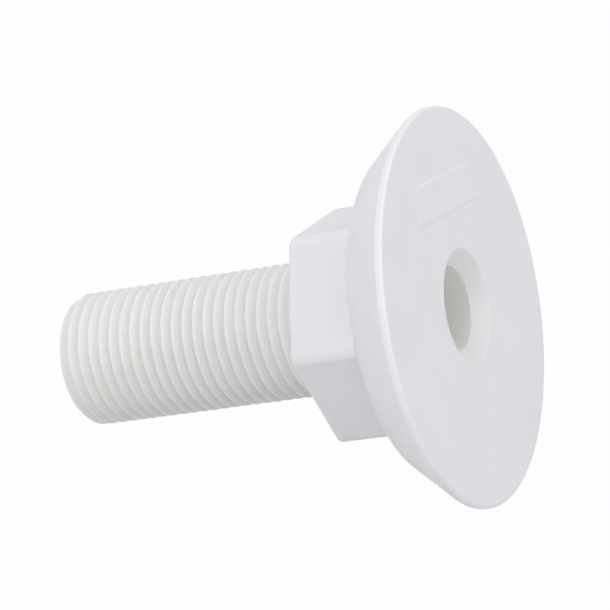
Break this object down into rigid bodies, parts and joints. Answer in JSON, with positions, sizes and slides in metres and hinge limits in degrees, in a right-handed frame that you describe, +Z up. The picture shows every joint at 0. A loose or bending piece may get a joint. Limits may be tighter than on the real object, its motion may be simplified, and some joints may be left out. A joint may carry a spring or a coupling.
{
  "type": "thru hull fitting",
  "caption": "White plastic thru-hull fitting: round countersunk flange, threaded tube with a through bore, hex nut that screws along the tube, and a sealing washer.",
  "frame": {"origin": "centre of the flange's outer face, which lies flush with the hull's outer skin", "axes": "+X out of the outer face, away from the hull; the tube runs along -X into the hull; +Z up, square to a flat of the nut at rest"},
  "size_m": [0.0647, 0.06, 0.06],
  "materials": {
    "flange_plastic": "satin moulded white",
    "tube_plastic": "satin moulded warm white",
    "washer_rubber": "pale sealing rubber",
    "nut_plastic": "satin moulded white"
  },
  "bodies": {
    "fitting": {"skin_flange": "flange_plastic", "threaded_tube": "tube_plastic"},
    "washer": {"sealing_washer": "washer_rubber"},
    "nut": {"hex_nut": "nut_plastic"}
  },
  "joints": [
    {"name": "nut_travel", "type": "slide", "parent": "fitting", "child": "washer", "axis": [-1, 0, 0], "range_m": [0, 0.04173]},
    {"name": "nut_turn", "type": "hinge", "parent": "washer", "child": "nut", "pos_m": [-0.016, 0, 0], "axis": [-1, 0, 0], "range_deg": [0, 8280]}
  ],
  "couplings": [
    {"joint": "nut_travel", "follows": "nut_turn", "m_per_rad": 0.00028871}
  ]
}
